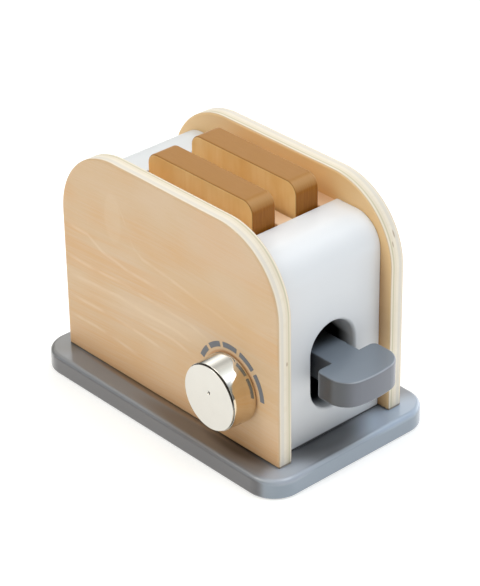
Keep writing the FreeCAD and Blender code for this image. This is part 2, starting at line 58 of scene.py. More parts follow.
def span(node):
    """A node's lowest and highest corners in millimetres."""
    low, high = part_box(node)
    return Vector(low) / MM, Vector(high) / MM


def srgb(red, green, blue):
    """A paint-chart colour, 0 to 255 a channel, as linear light."""
    def linear(level):
        level /= 255
        return level / 12.92 if level <= 0.04045 else ((level + 0.055) / 1.055) ** 2.4
    return (linear(red), linear(green), linear(blue), 1.0)


# ---------------------------------------------------------------- colours and places of the finishes

BLACK = (0.0, 0.0, 0.0, 1.0)
ALONG_X, ALONG_Y, ALONG_Z = 0, 1, 2

# Painted shade along the line where walls stand on the base, a dark band for the gap at their foot.
BASE_TOP = span("base_plate")[1].z
SEAM_SHADE_HEIGHT = 1.3
SEAM_SHADE = srgb(30, 24, 20)
VENEER_SEAM_SHADE = srgb(74, 50, 30)

# Paints, each with the tone that it drifts to, then painted light on the base's front, painted shade on
# the lever's front and painted shade on the knob's side of both.
BASE_GREY = srgb(122, 126, 132)
BASE_SHADE = srgb(117, 121, 127)
BASE_FRONT_PAINTED_LIGHT = srgb(134, 147, 160)
BASE_SIDE_PAINTED_SHADE = srgb(71, 70, 74)
LEVER_GREY = srgb(121, 131, 142)
LEVER_SHADE = srgb(116, 126, 137)
LEVER_FRONT_PAINTED_SHADE = srgb(106, 110, 120)
LEVER_SIDE_PAINTED_SHADE = srgb(66, 69, 74)
WHITE = srgb(231, 233, 235)
WHITE_SHADE = srgb(226, 229, 232)

# Soft patches of the finishes: a centre, a reach (x, y, z) and a colour each. The white ends' patch is
# painted shade on the rear end's top; the base's patches are painted light, shade and reflection on its
# top; the veneer's patches shift its tone.
WHITE_TOP_PAINTED_SHADE = [((-62.0, 0.0, 119.0), (34.0, 90.0, 18.0), srgb(208, 211, 212))]
BASE_PAINTED_LIGHT_AND_SHADE = [
    # In order: painted shade at the left end, painted shade and a painted veneer reflection beside the
    # knob's side, painted bluish light at the front right, a painted highlight at the near front
    # corner, the lever's painted shadow, and painted shade and veneer reflection along the knob side's
    # foot.
    ((-82.0, -42.0, 11.0), (14.0, 20.0, 4.0), srgb(105, 103, 99)),
    ((32.0, -49.5, 11.0), (60.0, 9.0, 4.0), srgb(90, 79, 70)),
    ((52.0, -44.0, 11.0), (30.0, 7.0, 4.0), srgb(46, 35, 28)),
    ((86.0, 34.0, 11.0), (15.0, 38.0, 4.0), srgb(170, 186, 204)),
    ((88.0, -42.0, 11.0), (15.0, 22.0, 4.0), srgb(166, 174, 186)),
    ((76.5, -6.0, 11.0), (17.5, 31.0, 4.0), srgb(32, 35, 40)),
    ((-10.0, -43.0, 11.0), (76.0, 3.0, 4.0), srgb(124, 99, 71)),
]
VENEER_PATCHES = [
    ((38.0, -42.0, 80.0), (42.0, 20.0, 15.0), srgb(211, 168, 108)),
    ((44.0, -42.0, 120.0), (44.0, 20.0, 24.0), srgb(216, 196, 174)),
]

# Plywood faces.
VENEER = srgb(209, 179, 141)
VENEER_PALE = srgb(213, 188, 159)
VENEER_DEEP = srgb(210, 168, 119)
VENEER_STREAK = srgb(230, 209, 180)
VENEER_PORE = srgb(182, 138, 92)
VENEER_FOOT = srgb(212, 160, 110)
VENEER_INNER = srgb(234, 199, 144)
# Painted shade for the inner face's corner beside the front end.
VENEER_CORNER_SHADE = srgb(142, 88, 50)
# A painted contact shadow round the knob's flange, and how wide it is.
VENEER_KNOB_SHADOW = srgb(184, 112, 44)
KNOB_SHADOW_WIDTH = 1.5
CORNER_SHADE_WIDTH, CORNER_SHADE_START, CORNER_SHADE_FULL = 7, 8, 35
PALE_PATCH = ((-40.0, -42.2, 103.0), (7.0, 20.0, 17.0))
FIGURE_SLANT = 1.5  # degrees
FIGURE_REACH, FIGURE_HEIGHT = 90, 150
FIGURE_LINES = [  # x and z of each line's bends
    [(-79, 65.5), (-50, 66.2), (-32, 67.3), (-11, 66.2), (18, 65.0), (34, 62)],
    [(-79, 54.6), (-56, 57), (-38, 58), (-18, 57.3), (7, 56.7), (26, 54)],
    [(-79, 30.4), (-58, 31.5), (-40, 30.9), (-22, 28.6)],
    [(-36, 112), (-31, 104), (-25, 92), (-18, 87.6), (0, 85.2), (18, 82.6), (43, 79.7), (60, 76)],
    [(-79, 85), (-61, 84.2), (-50, 79), (-32, 76.6), (-8, 75.5), (20, 73)],
    [(-79, 42), (-50, 44), (-20, 43), (4, 40)],
    [(-20, 51), (4, 50.5), (22, 47)],
]

# Plywood edges: the layers from the inner face (0) to the outer face (1), and what marks them.
PLY_SHADE = srgb(214, 196, 160)
PLY_CREAM = srgb(241, 231, 212)
PLY_PALE = srgb(235, 223, 200)
PLY_GREY = srgb(230, 222, 208)
PLY_GLUE = srgb(212, 203, 172)
PLY_LAYERS = [
    (0.0, VENEER), (0.05, VENEER), (0.09, PLY_CREAM), (0.16, PLY_CREAM), (0.19, PLY_GLUE),
    (0.25, PLY_GLUE), (0.29, PLY_PALE), (0.40, PLY_PALE), (0.46, PLY_CREAM), (0.58, PLY_CREAM),
    (0.63, PLY_GREY), (0.78, PLY_GREY), (0.83, PLY_CREAM), (0.88, PLY_CREAM), (0.93, VENEER),
    (1.0, VENEER),
]
# Painted shade for edges that face up.
TOP_EDGE_PAINTED_SHADE = 0.1
KNOT = srgb(150, 112, 66)
PIN_KNOTS = [
    ((81.0, -36.5, 69.0), (3.0, 0.7, 1.6)),
    ((76.8, 38.6, 109.5), (3.0, 0.6, 2.6)),
    ((78.4, 36.4, 105.0), (3.0, 0.5, 2.0)),
]

# Boards, dowels and slices.
BOARD_PALE = srgb(246, 216, 182)
BOARD_DEEP = srgb(232, 190, 148)
CRUMB = srgb(229, 193, 134)
CRUMB_PALE = srgb(234, 202, 147)
CRUMB_DEEP = srgb(223, 181, 118)
CRUST = srgb(163, 115, 57)
CRUST_PALE = srgb(172, 125, 66)
CRUST_LINE = srgb(106, 62, 22)
# A painted highlight for the slices' rounded corners.
CRUST_PAINTED_HIGHLIGHT = srgb(206, 164, 112)
# Darker tones for the slices' ends.
END_FACE_DARK = srgb(145, 88, 22)
END_FACE_DARK_PALE = srgb(162, 102, 30)

# Painted shade inside the lever slot, and a painted highlight along the top front edges of painted
# pieces.
LEVER_SLOT_ACROSS = (-13.45, 15.65)
LEVER_SLOT_HEIGHT = (25.2, 73.69)
SLOT_FACE = span("front_end_block")[1].x
SLOT_SHADE_DEPTH = 12.5
SLOT_LIGHTER_ABOVE = (58.2, 64.0)
SLOT_LIGHTER_BY = 30.0
SLOT_PAINTED_SHADE = srgb(5, 5, 6)
PAINTED_EDGE_HIGHLIGHT = srgb(232, 238, 245)

# Print, metal and plating.
INK = srgb(112, 116, 124)
INK_THIN = srgb(138, 136, 138)
# Painted shade for the knob's gap and dimple.
GAP_PAINTED_SHADE = srgb(38, 32, 24)
GAP_PAINTED_SHADE_MOTTLED = srgb(58, 50, 38)
ZINC = srgb(196, 196, 190)
ZINC_SHADE = srgb(170, 172, 172)
BRASS = srgb(214, 178, 100)
BRASS_SHADE = srgb(196, 156, 84)
STEEL = srgb(170, 170, 172)
STEEL_SHADE = srgb(140, 140, 144)
CHROME = (0.70, 0.69, 0.645, 1.0)
CHROME_FILM = (0.67, 0.655, 0.61, 1.0)
# A painted highlight for the barrel's upper side, and a warm tint painted on the barrel where it
# mirrors the panel, standing in for the panel's shaded reflection.
CHROME_PAINTED_HIGHLIGHT = (0.80, 0.77, 0.71, 1.0)
BARREL_REFLECTION_TINT = (0.76, 0.64, 0.47, 1.0)
BARREL_REFLECTION_TINT_FILM = (0.72, 0.60, 0.42, 1.0)
KNOB_DEPTH = span("knob_cap")[1].y - span("knob_cap")[0].y


# ---------------------------------------------------------------- shader building


class Wire:
    """A shader socket that can be reckoned with: each operator adds a Math node."""

    def __init__(self, finish, socket):
        self.finish = finish
        self.socket = socket

    def __add__(self, other):
        return self.finish.math("ADD", self, other)

    def __sub__(self, other):
        return self.finish.math("SUBTRACT", self, other)

    def __rsub__(self, other):
        return self.finish.math("SUBTRACT", other, self)

    def __mul__(self, other):
        return self.finish.math("MULTIPLY", self, other)

    def __truediv__(self, other):
        return self.finish.math("DIVIDE", self, other)

    def __pow__(self, other):
        return self.finish.math("POWER", self, other)

    def __abs__(self):
        return self.finish.math("ABSOLUTE", self)

    def __gt__(self, other):
        return self.finish.math("GREATER_THAN", self, other)

    def __lt__(self, other):
        return self.finish.math("LESS_THAN", self, other)

    __radd__ = __add__
    __rmul__ = __mul__


class Finish:
    """The node tree of one finish. Every node comes from its node method."""

    def __init__(self, block):
        block.use_nodes = True
        self.block = block
        self.tree = block.node_tree
        self.tree.nodes.clear()

    def node(self, kind, settings=None, values=None, output=0):
        """Adds a node: its settings first, then a value or a wire for each socket that is named."""
        node = self.tree.nodes.new(kind)
        for name, setting in (settings or {}).items():
            if name == "stops":
                self.set_stops(node.color_ramp, setting)
            else:
                setattr(node, name, setting)
        for name, value in (values or {}).items():
            if isinstance(value, Wire):
                self.tree.links.new(value.socket, node.inputs[name])
            else:
                node.inputs[name].default_value = value
        return Wire(self, node.outputs[output]) if node.outputs else None

    @staticmethod
    def set_stops(ramp, stops):
        while len(ramp.elements) < len(stops):
            ramp.elements.new(1.0)
        for element, (position, colour) in zip(ramp.elements, stops):
            element.position = position
            element.color = colour

    def math(self, operation, first, second=0.0):
        return self.node("ShaderNodeMath", {"operation": operation}, {0: first, 1: second})

    def vectors(self, operation, first, second):
        return self.node("ShaderNodeVectorMath", {"operation": operation}, {0: first, 1: second})

    def xyz(self, vector):
        parts = self.node("ShaderNodeSeparateXYZ", values={"Vector": vector})
        return [Wire(self, socket) for socket in parts.socket.node.outputs]

    def ease(self, value, start, end):
        """0 below start, 1 above end and smooth between them; start may be the larger."""
        return self.node("ShaderNodeMapRange", {"interpolation_type": "SMOOTHSTEP"},
                         {"Value": value, "From Min": start, "From Max": end})

    def mix(self, factor, first, second):
        """A colour between two others."""
        return self.node("ShaderNodeMix", {"data_type": "RGBA"}, {0: factor, 6: first, 7: second}, 2)

    def ramp(self, factor, stops):
        return self.node("ShaderNodeValToRGB", {"stops": stops}, {"Fac": factor})

    def place(self):
        """Where a point lies on its piece, in millimetres of the toy's own frame."""
        local = self.node("ShaderNodeTexCoord", output="Object")
        return self.vectors("MULTIPLY", local, (1 / MM,) * 3)

    def facing(self):
        """The surface's own direction, in the toy's frame."""
        return self.node("ShaderNodeTexCoord", output="Normal")

    def drawn(self, place, sizes, seed=0.0, detail=2.0, roughness=0.5):
        """Noise whose blots are about sizes (x, y, z) millimetres big."""
        scaled = self.vectors("DIVIDE", place, sizes)
        shifted = self.vectors("ADD", scaled, (seed, seed * 1.7, seed * 0.6))
        return self.node("ShaderNodeTexNoise", None, {
            "Vector": shifted, "Scale": 1.0, "Detail": detail, "Roughness": roughness})

    def away(self, place, centre, reach):
        """How far a place is from a centre: 1 at the reach (x, y, z) in millimetres."""
        offset = self.vectors("DIVIDE", self.vectors("SUBTRACT", place, centre), reach)
        return self.node("ShaderNodeVectorMath", {"operation": "LENGTH"}, {0: offset}, "Value")

    def bump(self, height, depth, strength=1.0):
        """A normal from a height of 0 to 1 that stands for depth millimetres."""
        return self.node("ShaderNodeBump", None,
                         {"Strength": strength, "Distance": depth * MM, "Height": height})

    def surface(self, **values):
        """The finish's shader, its sockets given by name with underscores for spaces."""
        sockets = {name.replace("_", " "): value for name, value in values.items()}
        shader = self.node("ShaderNodeBsdfPrincipled", None, sockets)
        self.node("ShaderNodeOutputMaterial", None, {"Surface": shader})
        return self.block


def new_finish(name):
    return Finish(bpy.data.materials.new(name))


# ---------------------------------------------------------------- wood finishes


def stretched(axis, along, across):
    """Blot sizes for grain that runs along one axis."""
    sizes = [across] * 3
    sizes[axis] = along
    return tuple(sizes)


def fine_grain(finish, place, axis, seed):
    """Close fibres and short pores along an axis, both about 0 to 1."""
    fibres = finish.drawn(place, stretched(axis, 26, 0.55), seed, 5, 0.6)
    pores = finish.drawn(place, stretched(axis, 5.5, 0.3), seed + 4.2, 2, 0.5)
    return fibres, finish.ease(pores, 0.6, 0.72)


def drifting(finish, place, seed, reach):
    """Places pushed up and down by a slow noise, so that straight grain bends by up to about reach."""
    sway = finish.drawn(place, (170, 400, 110), seed, 1.0)
    shift = finish.node("ShaderNodeCombineXYZ", None, {"Z": (sway - 0.5) * (2 * reach)})
    return finish.vectors("ADD", place, shift)


def veneered_plywood():
    """Clear sealed birch plywood: rotary-cut faces along X and wavering layers at the edges."""
    finish = new_finish("veneered_plywood")
    place = finish.place()
    height = finish.xyz(place)[ALONG_Z]
    face, fibres = veneer_face(finish, place)
    edge, end_marks = plywood_edge(finish, place)
    on_edge = finish.ease(abs(finish.xyz(finish.facing())[ALONG_Y]), 0.80, 0.62)
    colour = finish.mix(on_edge, face, edge)
    # Painted shade along the foot, where the panel stands on the base.
    colour = finish.mix(foot_seam_shade(finish, height) * 0.7, colour, VENEER_SEAM_SHADE)
    relief = fibres * 0.6 + end_marks * on_edge * 0.8
    return finish.surface(
        Base_Color=colour, Roughness=0.42 + fibres * 0.16, Normal=finish.bump(relief, 0.03, 0.35),
        Coat_Weight=0.12, Coat_Roughness=0.25, IOR=1.45)


def veneer_face(finish, place):
    """The veneer's colour and its fibres: clouds, bands, pale figure, a browner foot, painted shade in
    the inner corner beside the front end and a painted contact shadow round the knob.
    """
    along, across, height = finish.xyz(place)
    slanted = finish.node("ShaderNodeVectorRotate", {"rotation_type": "Y_AXIS"},
                          {"Vector": place, "Angle": math.radians(FIGURE_SLANT)})
    flowing = drifting(finish, slanted, 4.7, 9)
    fibres, pores = fine_grain(finish, flowing, ALONG_X, 3.1)
    bands = finish.drawn(flowing, (320, 900, 8), 2.3, 3, 0.6)
    striped = finish.ease(height + (finish.drawn(place, (60, 400, 30), 6.1, 1) - 0.5) * 50, 96, 66)
    clouds = finish.drawn(slanted, (60, 400, 38), 7.7, 2, 0.5)
    pale_patch = finish.away(place, *PALE_PATCH) + (clouds - 0.5) * 1.2

    face = finish.ramp(clouds, [(0.3, VENEER_DEEP), (0.5, VENEER), (0.72, VENEER_PALE)])
    face = finish.mix(finish.ease(bands, 0.52, 0.36) * (0.2 + striped * 0.6), face, VENEER_DEEP)
    face = finish.mix(finish.ease(bands, 0.55, 0.68) * striped * 0.22, face, VENEER_STREAK)
    face = finish.mix(finish.ease(height, 66, 12) * 0.45, face, VENEER_DEEP)
    face = finish.mix(finish.ease(height + (bands - 0.5) * 14, 34, 10) * 0.5, face, VENEER_FOOT)
    face = finish.mix(figure_lines(finish, place) * 0.42, face, VENEER_STREAK)
    face = finish.mix(finish.ease(pale_patch, 1.0, 0.7) * 0.14, face, VENEER_STREAK)
    face = finish.mix(finish.ease(fibres, 0.35, 0.72) * 0.42, face, VENEER_PALE)
    face = finish.mix(pores * 0.14, face, VENEER_PORE)
    face = tinted(finish, place, face, VENEER_PATCHES, 0.3)

    outward = finish.xyz(finish.facing())[ALONG_Y] * finish.math("SIGN", across)
    inward = finish.ease(outward, -0.3, -0.9)
    face = finish.mix(inward * 0.7, face, VENEER_INNER)
    # Painted shade on the inner face, in the corner beside the front end.
    front = span("front_end_block")[1]
    corner = finish.ease(along, front.x + CORNER_SHADE_WIDTH, front.x) * (along > front.x - 1)
    corner = corner * finish.ease(height, front.z - CORNER_SHADE_START, front.z - CORNER_SHADE_FULL)
    face = finish.mix(inward * corner * 0.5, face, VENEER_CORNER_SHADE)
    # A painted contact shadow round the knob.
    return finish.mix(knob_contact_shadow(finish, place) * 0.5, face, VENEER_KNOB_SHADOW), fibres


def plywood_edge(finish, place):
    """The cut edge's colour and its marks: long fibres in the outer layers, end grain in the core."""
    across = finish.xyz(place)[ALONG_Y]
    low, high = span("plain_side_panel")
    waver = finish.drawn(place, (24, 60, 24), 5.5, 2, 0.55) - 0.5
    depth = (abs(across) - low.y) / (high.y - low.y) + waver * 0.05
    layers = finish.ramp(depth, PLY_LAYERS)
    long_fibres, _ = fine_grain(finish, place, ALONG_X, 9.4)
    cross_fibres = finish.drawn(place, (0.5, 30, 3.5), 2.6, 3, 0.6)
    cross_ply = finish.ease(abs(depth - 0.5), 0.15, 0.12)
    end_marks = long_fibres + (cross_fibres - long_fibres) * cross_ply
    edge = finish.mix(finish.ease(end_marks, 0.42, 0.8) * 0.16, layers, PLY_SHADE)
    edge = finish.mix(knot_marks(finish, place), edge, KNOT)
    upward = finish.xyz(finish.facing())[ALONG_Z]
    # Painted shade: edges that face up are darkened.
    return finish.mix(finish.ease(upward, 0.35, 0.9) * TOP_EDGE_PAINTED_SHADE, edge, BLACK), end_marks


def figure_lines(finish, place):
    """The long pale growth-ring lines across the knob's side, 0 to 1."""
    along, across, height = finish.xyz(place)
    sway = finish.drawn(place, (40, 400, 70), 8.3, 2) - 0.5
    weight = finish.drawn(place, (22, 400, 14), 3.9, 2)
    lines = 0.0
    for points in FIGURE_LINES:
        stops = [((x + FIGURE_REACH) / (2 * FIGURE_REACH), (z / FIGURE_HEIGHT,) * 3 + (1.0,))
                 for x, z in points]
        course = finish.ramp((along + FIGURE_REACH) / (2 * FIGURE_REACH), stops) * FIGURE_HEIGHT
        off = abs(height + sway * 3 - course)
        ends = finish.ease(along, points[0][0] - 2, points[0][0] + 10) * finish.ease(
            along, points[-1][0] + 2, points[-1][0] - 12)
        lines = finish.ease(off, 1.6, 0.1) * ends + lines
    return lines * finish.ease(weight, 0.3, 0.6) * (across < 0)


def knob_contact_shadow(finish, place):
    """Where the painted contact shadow round the knob's flange falls on its side, strongest on the
    upper part, 0 to 1.
    """
    low, high = span("knob_cap")
    middle = (low + high) / 2
    along, across, height = finish.xyz(place)
    from_axis = ((along - middle.x) ** 2.0 + (height - middle.z) ** 2.0) ** 0.5
    reach = (high.x - low.x) / 2
    upper = finish.ease(height, low.z, high.z - 5)
    return finish.ease(from_axis, reach + KNOB_SHADOW_WIDTH, reach + KNOB_SHADOW_WIDTH / 3) * (across < 0) * upper


def foot_seam_shade(finish, height):
    """Painted shade along the gap where a wall stands on the base, 0 to 1."""
    return finish.ease(height, BASE_TOP + SEAM_SHADE_HEIGHT, BASE_TOP + SEAM_SHADE_HEIGHT / 2) * 0.9


def knot_marks(finish, place):
    """Small dark pin knots in the edges of the two sides."""
    marks = 0.0
    for centre, size in PIN_KNOTS:
        marks = finish.ease(finish.away(place, centre, size), 1.0, 0.45) + marks
    return finish.math("MINIMUM", marks * 0.55, 1.0)


def bare_board():
    """Sanded unfinished boards inside the toast slots."""
    finish = new_finish("bare_board")
    place = finish.place()
    fibres, pores = fine_grain(finish, place, ALONG_X, 6.2)
    bands = finish.drawn(place, (200, 9, 9), 2.4, 2)
    colour = finish.ramp(finish.drawn(place, (60, 20, 20), 8.1),
                         [(0.3, BOARD_DEEP), (0.7, BOARD_PALE)])
    colour = finish.mix(finish.ease(bands, 0.45, 0.6) * 0.35, colour, BOARD_DEEP)
    colour = finish.mix(pores * 0.2, colour, VENEER_PORE)
    return finish.surface(
        Base_Color=colour, Roughness=0.62 + fibres * 0.2, Normal=finish.bump(fibres, 0.04, 0.4))


def turned_dowel():
    """Beech rod with short flecks along its length."""
    finish = new_finish("beech_dowel")
    place = finish.place()
    fibres, _ = fine_grain(finish, place, ALONG_Z, 1.3)
    flecks = finish.ease(finish.drawn(place, (0.5, 0.5, 2.2), 4.0, 1), 0.58, 0.68)
    colour = finish.mix(fibres, BOARD_DEEP, BOARD_PALE)
    colour = finish.mix(flecks * 0.35, colour, VENEER_PORE)
    return finish.surface(
        Base_Color=colour, Roughness=0.5 + fibres * 0.2, Normal=finish.bump(fibres, 0.03, 0.4))


def toast_brown():
    """Golden stained faces, a brown crust painted round the rim, darker ends and a painted highlight
    where the ends round over.
    """
    finish = new_finish("toast_brown")
    place = finish.place()
    facing = [abs(part) for part in finish.xyz(finish.facing())]
    fibres = finish.drawn(place, (1.6, 1.6, 30), 2.2, 4, 0.6)
    clouds = finish.drawn(place, (13, 13, 26), 6.6, 2, 0.5)
    crumb = finish.ramp(clouds, [(0.3, CRUMB_DEEP), (0.5, CRUMB), (0.7, CRUMB_PALE)])
    crumb = finish.mix(finish.ease(fibres, 0.4, 0.75) * 0.3, crumb, CRUMB_DEEP)
    brushing = finish.drawn(place, (9, 0.7, 9), 5.0, 3, 0.6)
    crust = finish.mix(finish.ease(brushing, 0.3, 0.75) * 0.5, CRUST, CRUST_PALE)
    # The ends, facing along X, are darker.
    end_faces = finish.mix(finish.ease(brushing, 0.3, 0.8), END_FACE_DARK, END_FACE_DARK_PALE)
    crust = finish.mix(finish.ease(facing[ALONG_X], 0.72, 0.95), crust, end_faces)
    # A painted highlight where the ends round over into the top and bottom.
    corner = finish.ease(facing[ALONG_X] * facing[ALONG_Z], 0.18, 0.42)
    crust = finish.mix(corner * 0.3, crust, CRUST_PAINTED_HIGHLIGHT)
    rim = finish.ease(facing[ALONG_Y], 0.93, 0.80)
    line = finish.ease(facing[ALONG_Y], 0.95, 0.86) * finish.ease(facing[ALONG_Y], 0.5, 0.75)
    colour = finish.mix(rim, crumb, crust)
    colour = finish.mix(line * 0.35, colour, CRUST_LINE)
    return finish.surface(
        Base_Color=colour, Roughness=0.46 + clouds * 0.1 - rim * 0.06 - corner * 0.08,
        Normal=finish.bump(fibres, 0.02, 0.3), IOR=1.3)


# ---------------------------------------------------------------- paint, print and metal


def satin_paint(name, colour, shade, roughness, coat, front=None, side=None, side_from=-0.3,
                patches=()):
    """Sprayed satin paint: a faint orange peel and slow drifts in tone, with painted shade down in the
    lever slot.

    It may have painted lighting on faces to the front with a painted highlight along their top edges,
    painted shade on the knob's side, and soft patches of painted light and shade."""
    finish = new_finish(name)
    place = finish.place()
    along, across, height = finish.xyz(place)
    facing = finish.xyz(finish.facing())
    peel = finish.drawn(place, (1.1, 1.1, 1.1), 3.3, 2, 0.5)
    drift = finish.drawn(place, (38, 38, 38), 1.1, 2, 0.5)
    tone = finish.mix(finish.ease(drift, 0.3, 0.7) * 0.5, colour, shade)
    # Painted lighting on faces to the front: light on the base, shade on the lever.
    if front:
        tone = finish.mix(finish.ease(facing[ALONG_X], 0.1, 0.7), tone, front)
        # A painted highlight along the rounded top front edges.
        top_edge_highlight = finish.ease(facing[ALONG_X] * facing[ALONG_Z], 0.2, 0.45)
        tone = finish.mix(top_edge_highlight * 0.24, tone, PAINTED_EDGE_HIGHLIGHT)
    # Painted shade on the knob's side.
    if side:
        tone = finish.mix(finish.ease(facing[ALONG_Y], side_from, -0.98), tone, side)
    # Soft patches, which on the base and the white ends are painted light and shade.
    tone = tinted(finish, place, tone, patches)
    # Painted shade down in the lever slot, reaching full dark further in higher up.
    slot_shade_from = SLOT_SHADE_DEPTH + finish.ease(height, *SLOT_LIGHTER_ABOVE) * SLOT_LIGHTER_BY
    slot_shade = finish.ease(along, SLOT_FACE - 1, SLOT_FACE - slot_shade_from) * (along > 0)
    tone = finish.mix(slot_shade * in_lever_slot(finish, across, height), tone, SLOT_PAINTED_SHADE)
    # Painted shade along the foot, where a wall stands on the base.
    tone = finish.mix(foot_seam_shade(finish, height) * (height > BASE_TOP + 0.01), tone, SEAM_SHADE)
    return finish.surface(
        Base_Color=tone, Roughness=roughness + (drift - 0.5) * 0.08,
        Normal=finish.bump(peel, 0.012, 0.3), Coat_Weight=coat, Coat_Roughness=0.14)


def tinted(finish, place, tone, patches, share=0.85):
    """Lays soft round patches over a tone: each has a centre, a reach and a colour."""
    for centre, reach, tint in patches:
        tone = finish.mix(finish.ease(finish.away(place, centre, reach), 1.0, 0.35) * share, tone, tint)
    return tone


def in_lever_slot(finish, across, height):
    """1 within the upright slot in the front end, and on what runs in it, 0 outside."""
    inside = 1.0
    for value, (low, high) in ((across, LEVER_SLOT_ACROSS), (height, LEVER_SLOT_HEIGHT)):
        half = (high - low) / 2
        inside = finish.ease(abs(value - (low + high) / 2), half + 1.2, half + 0.6) * inside
    return inside


def dial_print():
    """Flat grey ink, a little thin where the screen let less through."""
    finish = new_finish("dial_print")
    place = finish.place()
    thin = finish.drawn(place, (0.9, 0.9, 0.9), 2.0, 3, 0.6)
    colour = finish.mix(finish.ease(thin, 0.5, 0.8) * 0.5, INK, INK_THIN)
    return finish.surface(Base_Color=colour, Roughness=0.55 + thin * 0.1)


def turned_chrome():
    """Plated knob: a flat polished face and a barrel whose ground front mirrors the room, with a warm
    tint painted where it mirrors the panel and a painted highlight on its upper side.
    """
    finish = new_finish("turned_chrome")
    place = finish.place()
    facing = finish.facing()
    barrel = finish.ease(abs(finish.xyz(facing)[2]), 0.6, 0.3)
    rubs = finish.drawn(place, (0.25, 0.25, 6), 7.0, 2)
    film = finish.drawn(place, (7, 7, 7), 4.4, 2)

    # How far the barrel's ground surface leans forward or back, by the angle round the knob.
    round_it, depth = knob_angle(finish, place), KNOB_DEPTH - finish.xyz(place)[2]
    edge = round_it - depth * 1.6
    forward = finish.ease(edge, 34, 43) * 0.268 + finish.ease(round_it, 60, 76) * 0.14
    forward = (forward + finish.ease(round_it, 90, 115) * 0.10) * finish.ease(round_it, 160, 135)
    backward = finish.ease(edge, 34, 26) * finish.ease(depth, 1.2, 3) * 0.16
    reach = depth - finish.ease(round_it, 58, 84) * 4
    lean = (forward - backward) * finish.ease(reach, 10.6, 7.8) * barrel

    plate = finish.mix(film, CHROME, CHROME_FILM)
    # A warm tint painted where the barrel mirrors the panel, standing in for the panel's shaded
    # reflection, then a painted highlight on the upper side.
    plate = finish.mix(barrel * finish.ease(forward, 0.25, 0.05), plate,
                       finish.mix(film, BARREL_REFLECTION_TINT, BARREL_REFLECTION_TINT_FILM))
    plate = finish.mix(barrel * finish.ease(forward, 0.22, 0.3), plate, CHROME_PAINTED_HIGHLIGHT)
    leaning = finish.vectors("ADD", facing, finish.node("ShaderNodeCombineXYZ", None, {"Z": lean}))
    turned_to_room = finish.node("ShaderNodeVectorTransform", {
        "vector_type": "NORMAL", "convert_from": "OBJECT", "convert_to": "WORLD"}, {"Vector": leaning})
    return finish.surface(
        Base_Color=plate, Metallic=1.0, Normal=turned_to_room,
        Roughness=0.05 + barrel * 0.05 + finish.ease(rubs, 0.62, 0.8) * 0.05)


def knob_angle(finish, place):
    """How far round the knob a point is, in degrees: 0 towards the lever and 90 at the top."""
    along, up, _ = finish.xyz(place)
    return finish.math("ARCTAN2", up, along) * math.degrees(1)


def shadow_gap():
    """Painted shade for the knob's gap and the dimple's middle: dull and dark, giving way to plain
    chrome at the lower right.
    """
    finish = new_finish("shadow_gap")
    place = finish.place()
    gap_mottle = finish.drawn(place, (0.8, 0.8, 0.8), 3.0, 2)
    unshaded = finish.ease(abs(knob_angle(finish, place) + 60), 78, 60)
    return finish.surface(
        Base_Color=finish.mix(unshaded, finish.mix(gap_mottle, GAP_PAINTED_SHADE, GAP_PAINTED_SHADE_MOTTLED), CHROME),
        Metallic=unshaded, Roughness=(0.6 + gap_mottle * 0.2) * (1.15 - unshaded))


def worked_metal(name, colour, shade, roughness, sizes):
    """Drawn or plated metal with marks of the given size."""
    finish = new_finish(name)
    place = finish.place()
    marks = finish.drawn(place, sizes, 5.1, 3, 0.6)
    tone = finish.mix(finish.ease(marks, 0.3, 0.75), colour, shade)
    return finish.surface(
        Base_Color=tone, Metallic=1.0, Roughness=roughness + marks * 0.18,
        Normal=finish.bump(marks, 0.008, 0.3))


# ---------------------------------------------------------------- mesh building

SHARP_ANGLE = 35  # degrees

# Knob: what it narrows by, its gap, roundings, hollow back and dimple, as radii and depths.
KNOB_STEPS = 144
KNOB_TAPER = 0.75
KNOB_GAP = 1.05
KNOB_GAP_STEP = 0.45
KNOB_RIM_ROUND = 0.12
KNOB_BACK_ROUND = 0.35
KNOB_WALL = 1.8
KNOB_HUB = 5.5
KNOB_BORE = 3.0
KNOB_BORE_DEPTH = 9.0
KNOB_DIMPLE = 1.1
KNOB_DIMPLE_DEPTH = 0.7
KNOB_DIMPLE_RISE = 3.0

# Springs: the wire's radius, the open turns, and a closed turn's rise in wire radii.
SPRING_WIRE = 0.3
SPRING_TURNS = 7
SPRING_CLOSED_RISE = 2.3
SPRING_STEPS = 28
SPRING_SIDES = 8

# Screws: the thread, the plain neck above it and the point below it, then each kind's
# head radius, head depth and shank radius.
SCREW_STEPS = 32
SCREW_RINGS = 6
SCREW_PITCH = 1.5
SCREW_PLAIN = 1.0
SCREW_POINT = 2.0
SCREW_TIP = 1.2
BASE_SCREW = (3.8, 2.4, 1.75)
PLATFORM_SCREW = (2.9, 1.8, 1.5)


def add_piece(name, mesh, finish, body, slot, *stands_for):
    """A finished piece that rides on a body and stands for CAD nodes."""
    for face in mesh.faces:
        face.smooth = True
    bmesh.ops.recalc_face_normals(mesh, faces=mesh.faces)
    data = bpy.data.meshes.new(name)
    mesh.to_mesh(data)
    mesh.free()
    data.materials.append(finish)
    data.set_sharp_from_angle(angle=math.radians(SHARP_ANGLE))
    piece = bpy.data.objects.new(name, data)
    bpy.context.scene.collection.objects.link(piece)
    if body:
        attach(piece, body)
    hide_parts(*stands_for)
    return piece


def turned(mesh, profile, steps):
    """Revolves (radius, height) points round Z; the profile starts and ends on the axis."""
    rings = []
    for radius, height in profile:
        ring = []
        for i in range(steps if radius else 1):
            turn = 2 * math.pi * i / steps
            point = Vector((radius * math.cos(turn), radius * math.sin(turn), height)) * MM
            ring.append(mesh.verts.new(point))
        rings.append(ring)
    for lower, upper in zip(rings, rings[1:]):
        skin(mesh, lower, upper)


